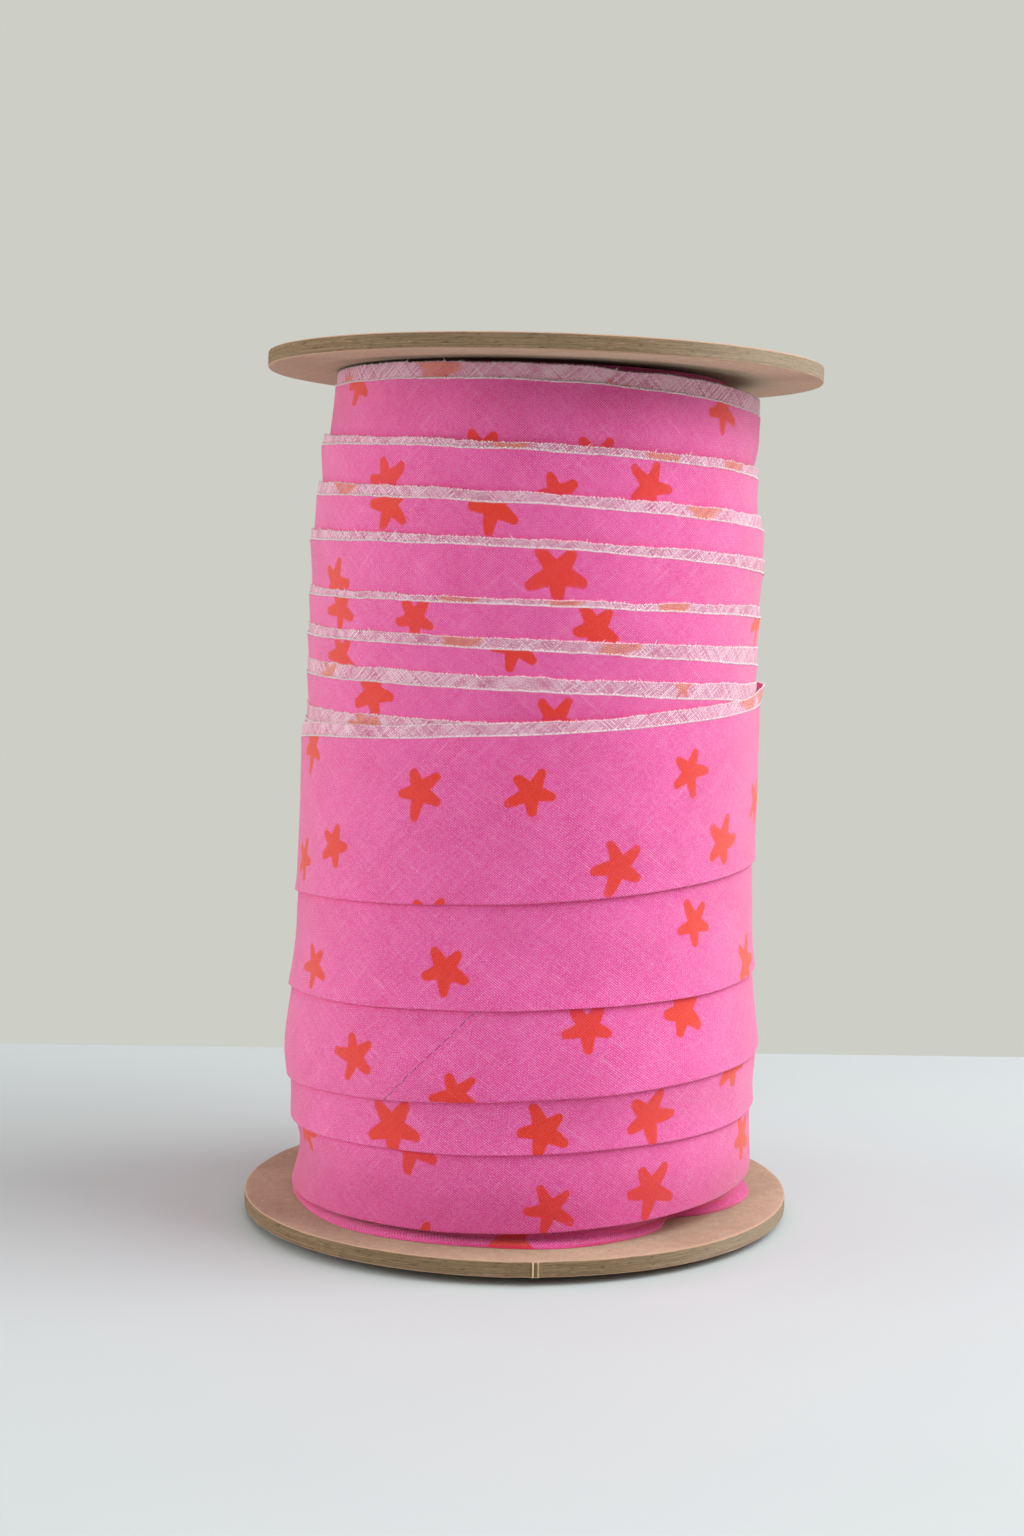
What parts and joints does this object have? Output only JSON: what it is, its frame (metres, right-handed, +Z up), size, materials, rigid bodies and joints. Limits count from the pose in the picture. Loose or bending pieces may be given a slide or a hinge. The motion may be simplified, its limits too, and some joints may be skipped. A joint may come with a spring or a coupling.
{
  "type": "roll of bias binding on a card spool",
  "caption": "Folded cotton bias binding with a star print, wound in overlapping turns on a slightly leaning spool with two flat round board discs.",
  "frame": {"origin": "middle of the bottom disc's underside, on the surface that the spool stands on", "axes": "+Z up along the spool, +X to the right and -Y towards the front as seen in the usual view; the wound roll leans about 1 degree towards +X"},
  "size_m": [0.1182, 0.1143, 0.1769],
  "materials": {
    "chipboard": "matt pressed board, warm brown faces and layered grey-brown edge",
    "printed_cotton": "matt plain-weave cotton cut on the bias, pink with orange-red stars"
  },
  "bodies": {
    "root": {"disc_bottom": "chipboard", "disc_top": "chipboard", "binding_roll": "printed_cotton"}
  },
  "joints": []
}
